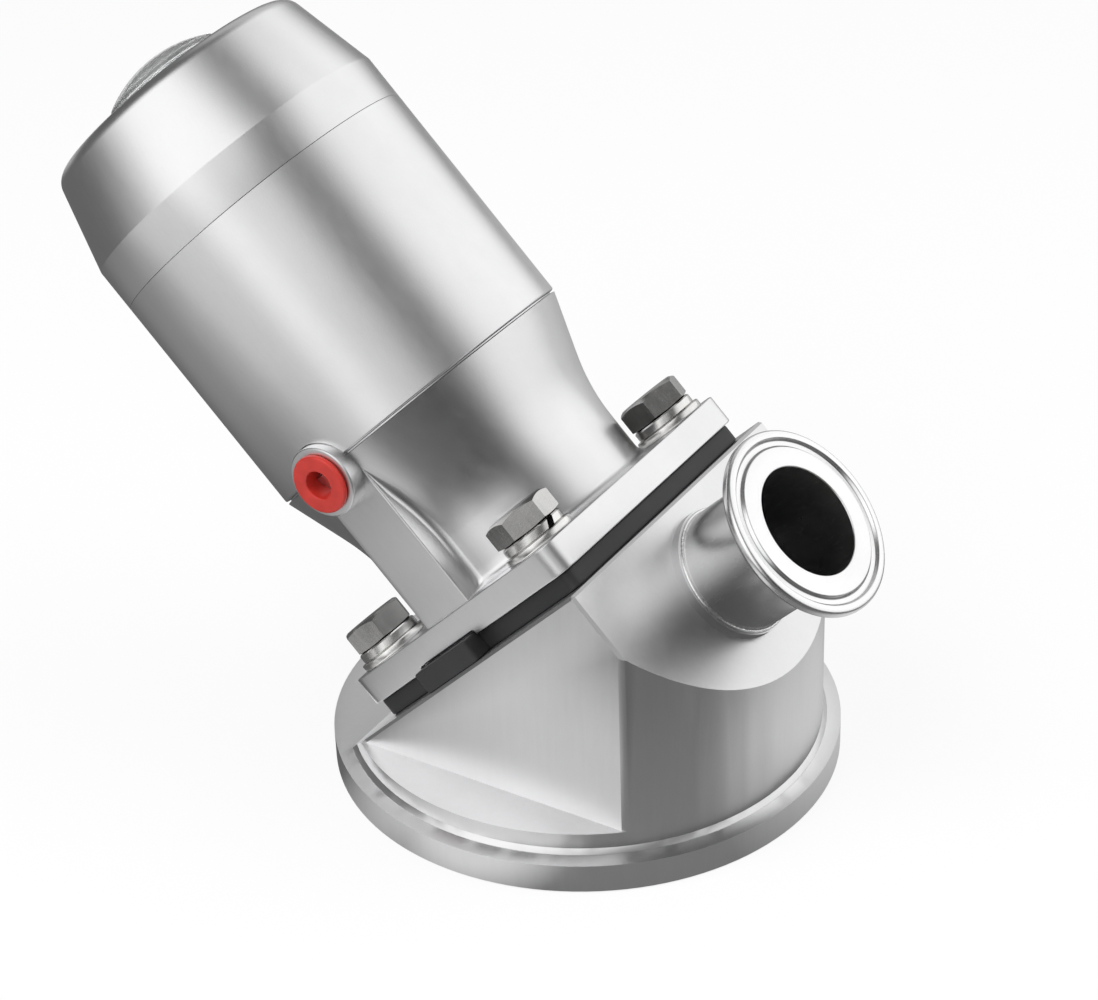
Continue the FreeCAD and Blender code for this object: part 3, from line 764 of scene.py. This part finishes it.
spreadTree, spreadIn = newTree("boltPattern", {
    "Piece": None, "Station": boltStation, "First Turn": 0.0, "Turn Step": 0.0})
spreadWide = calculate(spreadTree, "MULTIPLY", spreadIn["Station"], 2.0)
spreadGrid = addNode(spreadTree, "GeometryNodeMeshGrid", {
    "Vertices X": 2, "Vertices Y": 2, "Size X": spreadWide, "Size Y": spreadWide})
spreadPoints = addNode(spreadTree, "GeometryNodeMeshToPoints", {"Mesh": spreadGrid.outputs["Mesh"]})
spreadInfo = addNode(spreadTree, "GeometryNodeObjectInfo", {"Object": spreadIn["Piece"]})
spreadIndex = addNode(spreadTree, "GeometryNodeInputIndex").outputs["Index"]
spreadTurn = calculate(spreadTree, "MULTIPLY_ADD", spreadIndex,
                       spreadIn["Turn Step"], spreadIn["First Turn"])
spreadSpin = addNode(spreadTree, "ShaderNodeCombineXYZ", {
    "Z": calculate(spreadTree, "RADIANS", spreadTurn)})
spreadCopies = addNode(spreadTree, "GeometryNodeInstanceOnPoints", {
    "Points": spreadPoints.outputs["Points"], "Instance": spreadInfo.outputs["Geometry"],
    "Rotation": spreadSpin.outputs["Vector"]})
endTree(spreadTree, spreadCopies.outputs["Instances"], finishes["fastener"])


def fastenerSet(name, bm, size, node, finish):
    template = meshPiece(name + "Template", bm, Matrix.Identity(4), finish, scale=1.0)
    piece = grow(name, spreadTree, actuatorPlace, {
        "Piece": template, "Station": boltStation, "First Turn": size["firstTurn"],
        "Turn Step": size["turnStep"]}, finish)
    bpy.data.objects.remove(template)
    settle(piece, "housing", "fastener_steel", node)


flatCorners = boxCorners(flatSize["inner"], flatSize["outer"], flatSize["low"], flatSize["high"], (
    flatSize["holeRound"], flatSize["round"], flatSize["round"], flatSize["holeRound"]))
fastenerSet("flangeBolts", hexHead(boltSize), boltSize, "flange_bolts", finishes["fastener"])
fastenerSet("lockWashers", lockRing(lockSize), lockSize, "spring_washers", finishes["washer"])
fastenerSet("flatWashers", turnedMesh(flatCorners, around=64, arcSteps=3), flatSize, "flat_washers",
            finishes["washer"])
print("fasteners")


# actuator cylinder, cap, dome and indicator

cylinderSize = {
    "bore": 41.2, "foot": 99.55, "top": 164.45, "footEdge": 0.5, "topEdge": 0.12,
    "bossHole": 10.0, "holeFrom": 30, "holeTo": 60,   # lets the port boss through
}
wallCorners = boxCorners(cylinderSize["bore"], actuatorRadius, cylinderSize["foot"], cylinderSize["top"],
                         (0, cylinderSize["footEdge"], cylinderSize["topEdge"], 0))
actuatorCylinder = turnedPiece("actuatorCylinder", wallCorners, actuatorPlace, finishes["cylinder"],
                               around=192)
holeCorners = boxCorners(0, cylinderSize["bossHole"], cylinderSize["holeFrom"], cylinderSize["holeTo"])
carve(actuatorCylinder, turnedPiece("bossHole", holeCorners, bossPlace, finishes["cylinder"], around=96))
trueRound(actuatorCylinder, actuatorPlace, actuatorRadius)
settle(actuatorCylinder, "housing", "cylinder_steel", "actuator_cylinder")

capSize = {
    "spigotFoot": 155.5, "spigotRound": 0.4, "joint": 164.5, "jointEdge": 0.12,
    "taperStart": 176.5, "taperRound": 1.5, "top": 202.6, "topRadius": 38.56, "topRound": 4.47,
    "recess": 17.1, "recessRound": 0.5, "recessFloor": 190.3, "rodHole": 3.6,
    "hollow": 36.6, "ceiling": 185.8,
}


def capCorners(size):
    return [(size["hollow"], size["spigotFoot"], 0),
            (spigotRadius, size["spigotFoot"], size["spigotRound"]), (spigotRadius, size["joint"], 0),
            (actuatorRadius, size["joint"], size["jointEdge"]),
            (actuatorRadius, size["taperStart"], size["taperRound"]),
            (size["topRadius"], size["top"], size["topRound"]),
            (size["recess"], size["top"], size["recessRound"]),
            (size["recess"], size["recessFloor"], 0), (size["rodHole"], size["recessFloor"], 0),
            (size["rodHole"], size["ceiling"], 0), (size["hollow"], size["ceiling"], 0)]


topCap = turnedPiece("topCap", capCorners(capSize), actuatorPlace, finishes["cap"], around=192, arcSteps=8)
settle(topCap, "housing", "cap_steel", "top_cap")

domeSize = {
    "radius": 17.0, "foot": 190.35, "footRound": 0.2, "skirt": 207.4, "skirtRound": 0.5,
    "rise": 4.55, "wall": 2.2, "ceiling": 206.8, "ceilingRound": 1.0, "steps": 16,
}


def domeCorners(size):
    # crowned outside, flat ceiling inside
    ball = (size["radius"] ** 2 + size["rise"] ** 2) / (2 * size["rise"])
    centre = size["skirt"] + size["rise"] - ball
    crown = []
    for i in range(size["steps"] + 1):
        radius = size["radius"] * (1 - i / size["steps"])
        crown.append((radius, centre + sqrt(ball ** 2 - radius ** 2), size["skirtRound"] if i == 0 else 0))
    inner = size["radius"] - size["wall"]
    return [(size["radius"], size["foot"], size["footRound"]), *crown, (0, size["ceiling"], 0),
            (inner, size["ceiling"], size["ceilingRound"]), (inner, size["foot"], size["footRound"])]


indicatorDome = turnedPiece("indicatorDome", domeCorners(domeSize), actuatorPlace, finishes["dome"],
                            around=128)
settle(indicatorDome, "housing", "dome_clear", "indicator_dome")

knobSize = {"radius": 6.0, "footRound": 0.4, "top": 195.8, "topRound": 1.2}
knobCorners = boxCorners(0, knobSize["radius"], knobFoot, knobSize["top"],
                         (0, knobSize["footRound"], knobSize["topRound"], 0))
indicatorKnob = turnedPiece("indicatorKnob", knobCorners, actuatorPlace, finishes["knob"], around=72)
settle(indicatorKnob, "stem", "knob_plastic", "indicator_knob")

rodSize = {"radius": 3.5, "foot": 128.5, "round": 0.3}
rodCorners = boxCorners(0, rodSize["radius"], rodSize["foot"], knobFoot,
                        (0, rodSize["round"], rodSize["round"], 0))
indicatorRod = turnedPiece("indicatorRod", rodCorners, actuatorPlace, finishes["stem"], around=48)
settle(indicatorRod, "stem", "stem_steel", "indicator_rod")
print("actuator")


# closing springs: one coil tree, used twice

springSizes = {
    "outerSpring": {"radius": 32.8, "wire": 4.6, "turns": 5.0, "node": "spring_outer"},
    "innerSpring": {"radius": 25.6, "wire": 3.4, "turns": 7.0, "node": "spring_inner"},
}
springSeat = {"foot": 115.6, "head": 185.7, "keep": 0.857}   # keep is the share of the length at full lift
coilTree, coilIn = newTree("coilSpring", {"Radius": 30.0, "Height": 60.0, "Turns": 5.0, "Wire Radius": 2.0})
coilSteps = {"turn": 48, "wire": 16}
coilPath = addNode(coilTree, "GeometryNodeCurveSpiral", {
    "Resolution": coilSteps["turn"], "Start Radius": coilIn["Radius"], "End Radius": coilIn["Radius"],
    "Height": coilIn["Height"], "Rotations": coilIn["Turns"]})
coilWire = addNode(coilTree, "GeometryNodeCurvePrimitiveCircle", {
    "Resolution": coilSteps["wire"], "Radius": coilIn["Wire Radius"]})
coilSweep = addNode(coilTree, "GeometryNodeCurveToMesh", {
    "Curve": coilPath.outputs["Curve"], "Profile Curve": coilWire.outputs["Curve"], "Fill Caps": True})
endTree(coilTree, coilSweep.outputs["Mesh"], finishes["spring"])

for springName, size in springSizes.items():
    wireRadius = size["wire"] / 2
    coilPlace = actuatorPlace @ Matrix.Translation((0, 0, (springSeat["foot"] + wireRadius) * mm))
    coil = grow(springName, coilTree, coilPlace, {
        "Radius": size["radius"], "Height": springSeat["head"] - springSeat["foot"] - size["wire"],
        "Turns": size["turns"], "Wire Radius": wireRadius}, finishes["spring"])
    settle(coil, "housing", "spring_steel", size["node"])
    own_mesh(coil)
print("springs")


# transport plug, and the finishes of the inner nodes that are kept as they are

plugSize = {
    "depth": 38.2, "shank": 5.85, "tipRound": 0.6, "flange": 8.0, "under": 47.25, "underRound": 0.2,
    "rimRound": 0.3, "face": 48.8, "faceRound": 0.7, "recess": 3.8, "mouthRound": 0.45,
    "recessTaper": 0.3, "recessFloor": 41.8, "recessRound": 0.4,
}


def plugCorners(size):
    return [(0, size["depth"], 0), (size["shank"], size["depth"], size["tipRound"]),
            (size["shank"], size["under"], size["underRound"]),
            (size["flange"], size["under"], size["rimRound"]),
            (size["flange"], size["face"], size["faceRound"]),
            (size["recess"], size["face"], size["mouthRound"]),
            (size["recess"] - size["recessTaper"], size["recessFloor"], size["recessRound"]),
            (0, size["recessFloor"], 0)]


portPlug = turnedPiece("portPlug", plugCorners(plugSize), bossPlace, finishes["plug"],
                       around=96, arcSteps=5)
settle(portPlug, "housing", "plug_plastic", "port_plug")

innerFinishes = {
    "diaphragm_stud": "stem", "compressor": "stem", "spindle": "stem", "piston": "aluminium",
    "piston_seal": "seal", "piston_nut": "fastener", "spindle_bush": "bronze", "spindle_seal": "seal",
}
for node, finish in innerFinishes.items():
    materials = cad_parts[node].data.materials
    materials.clear()
    materials.append(finishes[finish])
print("inner nodes", len(innerFinishes))


# floor, light and camera; the floor's and the lamps' places are in metres

floorLook = {
    "half": 6.0, "drop": 0.0004, "colour": (0.8, 0.8, 0.8), "dim": 0.1,
    # how much each kind of ray sees as plain light and not as lit floor
    "glow": {"Is Camera Ray": 0.86, "Is Glossy Ray": 0.95, "Is Transmission Ray": 0.86},
    # pools of light that the steel mirrors, as (x, y, full within, fades out at, level)
    "pools": [(0.0, -0.117, 0.043, 0.06, 0.86), (-0.036, -0.092, 0.02, 0.045, 0.72),
              (-0.085, -0.155, 0.02, 0.055, 0.8), (-0.22, -0.21, 0.04, 0.12, 0.42),
              (-0.28, -0.48, 0.12, 0.3, 0.8), (-0.55, -1.65, 0.7, 1.2, 1.0),
              (-0.22, -0.1, 0.05, 0.12, 0.26), (0.06, -0.06, 0.04, 0.09, 0.19),
              (0.11, 0.06, 0.04, 0.11, 0.76), (-0.12, 0.45, 0.15, 0.35, 0.5),
              (-0.9, 0.55, 0.3, 0.6, 0.7), (0.35, 0.9, 0.4, 0.8, 0.75),
              (-0.01, -0.185, 0.03, 0.062, 0.64)],
}


def floorFinish(look):
    # pale floor that still takes the shadow; only mirrors see its pools
    material, tree, shader = newFinish("paleFloor")
    tree.nodes.remove(shader)
    spot = addNode(tree, "ShaderNodeTexCoord").outputs["Object"]
    ray = addNode(tree, "ShaderNodeLightPath").outputs
    lit = look["dim"]
    for x, y, within, beyond, level in look["pools"]:
        away = addNode(tree, "ShaderNodeVectorMath", {0: spot, 1: (x, y, 0)}, operation="DISTANCE")
        pool = span(tree, away.outputs["Value"], within, beyond, level, look["dim"])
        lit = calculate(tree, "MAXIMUM", lit, pool)
    share = 0.0
    for name, amount in look["glow"].items():
        share = calculate(tree, "MAXIMUM", share, calculate(tree, "MULTIPLY", ray[name], amount))
    matt = addNode(tree, "ShaderNodeBsdfDiffuse", {"Color": (*look["colour"], 1)})
    glow = addNode(tree, "ShaderNodeEmission", {
        "Color": (1, 1, 1, 1), "Strength": mixValues(tree, 1.0, lit, ray["Is Glossy Ray"])})
    mix = addNode(tree, "ShaderNodeMixShader", {
        "Fac": share, 1: matt.outputs["BSDF"], 2: glow.outputs["Emission"]})
    feed(tree, tree.nodes["Material Output"], {"Surface": mix.outputs["Shader"]})
    return material


half, drop = floorLook["half"], floorLook["drop"]
floorSpots = [(x, y, -drop) for x, y, rounding in boxCorners(-half, half, -half, half)]
floorMesh = bpy.data.meshes.new("floor")
floorMesh.from_pydata(floorSpots, [], [(0, 1, 2, 3)])
floorMesh.materials.append(floorFinish(floorLook))
floor = bpy.data.objects.new("floor", floorMesh)
scene.collection.objects.link(floor)

# what the steel reflects, each light as (azimuth, elevation, full within, fades out at, level)
studio = {
    "diffuse": 0.55,   # for everything that isn't a mirror
    "dark": 0.13,
    "brightest": 1.38,   # soft boxes that overlap are never brighter than this together
    "softBoxes": [(4, 37, 18, 42, 0.85), (-4, 2, 10, 34, 0.52), (4, 60, 10, 32, 0.5),
                  (-26, 38, 10, 28, 0.65), (-34, 13, 5, 22, 0.65), (138, 18, 31, 60, 1.02),
                  (154, 66, 6, 20, 0.42), (143, 21, 4, 12, 0.15), (-170, 5, 8, 45, 0.11),
                  (-150, 34, 14, 34, 0.45)],
    "card": (50, 4, 14, 34, 0.4),   # a dark card in front of the soft boxes
    # steel seen in steel, where the ray's glossy depth is past secondMirror, reflects these instead
    "secondMirror": 1.5, "steelDark": 0.08,
    "steelLights": [(-58, 25, 30, 82, 1.62), (-166, 19, 25, 55, 0.9)],
}
world = bpy.data.worlds.new("studio")
scene.world = world
world.use_nodes = True
sky = world.node_tree
sky.nodes.clear()
skyWay = addNode(sky, "ShaderNodeTexCoord").outputs["Generated"]
skyRay = addNode(sky, "ShaderNodeLightPath").outputs


def directionOf(azimuth, elevation):
    a, e = radians(azimuth), radians(elevation)
    return Vector((sin(a) * cos(e), -cos(a) * cos(e), sin(e)))


def roundLight(light, outside=0.0):
    # a soft round light in the sky, which fades from its level to the one outside it
    azimuth, elevation, inner, outer, level = light
    near = addNode(sky, "ShaderNodeVectorMath", {0: skyWay, 1: directionOf(azimuth, elevation)},
                   operation="DOT_PRODUCT").outputs["Value"]
    return span(sky, near, cos(radians(outer)), cos(radians(inner)), outside, level,
                interpolation_type="SMOOTHSTEP")


def lightsTogether(dark, lights):
    total = dark
    for light in lights:
        total = calculate(sky, "ADD", total, roundLight(light))
    return total


boxLight = lightsTogether(studio["dark"], studio["softBoxes"])
boxLight = calculate(sky, "MINIMUM", boxLight, studio["brightest"])
boxLight = calculate(sky, "MULTIPLY", boxLight, roundLight(studio["card"], 1.0))
steelLight = lightsTogether(studio["steelDark"], studio["steelLights"])
inSteel = calculate(sky, "GREATER_THAN", skyRay["Glossy Depth"], studio["secondMirror"])
mirrored = mixValues(sky, boxLight, steelLight, inSteel)
seenWhite = calculate(sky, "MAXIMUM", skyRay["Is Camera Ray"], skyRay["Is Transmission Ray"])
shownRays = calculate(sky, "MAXIMUM", seenWhite, skyRay["Is Glossy Ray"])
plain = addNode(sky, "ShaderNodeBackground", {"Color": (1, 1, 1, 1), "Strength": studio["diffuse"]})
shown = addNode(sky, "ShaderNodeBackground", {
    "Color": mixValues(sky, mirrored, 1.0, seenWhite), "Strength": 1.0})
skyMix = addNode(sky, "ShaderNodeMixShader", {
    "Fac": shownRays, 1: plain.outputs["Background"], 2: shown.outputs["Background"]})
addNode(sky, "ShaderNodeOutputWorld", {"Surface": skyMix.outputs["Shader"]})

lampAim = Vector((0, 0, 0.08))
lamps = {
    "keyLamp": {"azimuth": -25, "elevation": 50, "distance": 1.1, "size": 0.8, "power": 9},
    "fillLamp": {"azimuth": 120, "elevation": 40, "distance": 1.2, "size": 0.8, "power": 7},
}
for lampName, size in lamps.items():
    lampData = bpy.data.lights.new(lampName, "AREA")
    lampData.energy, lampData.size = size["power"], size["size"]
    lamp = bpy.data.objects.new(lampName, lampData)
    lamp.visible_glossy = False   # the steel reflects the studio instead
    outward = directionOf(size["azimuth"], size["elevation"])
    lamp.location = lampAim + outward * size["distance"]
    lamp.rotation_mode = "QUATERNION"
    lamp.rotation_quaternion = outward.to_track_quat("Z", "Y")
    scene.collection.objects.link(lamp)

# the photograph's view of the valve; only the clip distances are in metres
view = {
    "azimuth": 32.4451, "elevation": 31.1029, "roll": -2.0858, "distance": 739.9,
    "sideways": -8.2446, "upwards": 12.2148, "aimHeight": 60,
    "lens": 92.7, "sensor": 36, "clip": (0.05, 20),
}
cameraData = bpy.data.cameras.new("camera")
cameraData.sensor_width, cameraData.lens = view["sensor"], view["lens"]
cameraData.clip_start, cameraData.clip_end = view["clip"]
camera = bpy.data.objects.new("camera", cameraData)
scene.collection.objects.link(camera)
scene.camera = camera
backward = directionOf(view["azimuth"], view["elevation"])
rightward = Vector((cos(radians(view["azimuth"])), sin(radians(view["azimuth"])), 0))
upward = backward.cross(rightward)
roll = radians(view["roll"])
eyeRight = rightward * cos(roll) + upward * sin(roll)
eyeUp = upward * cos(roll) - rightward * sin(roll)
aim = Vector((0, 0, view["aimHeight"])) + rightward * view["sideways"] + upward * view["upwards"]
camera.matrix_world = placeFrom(eyeRight, eyeUp, backward, (aim + backward * view["distance"]) * mm)

scene.view_settings.view_transform = "Standard"
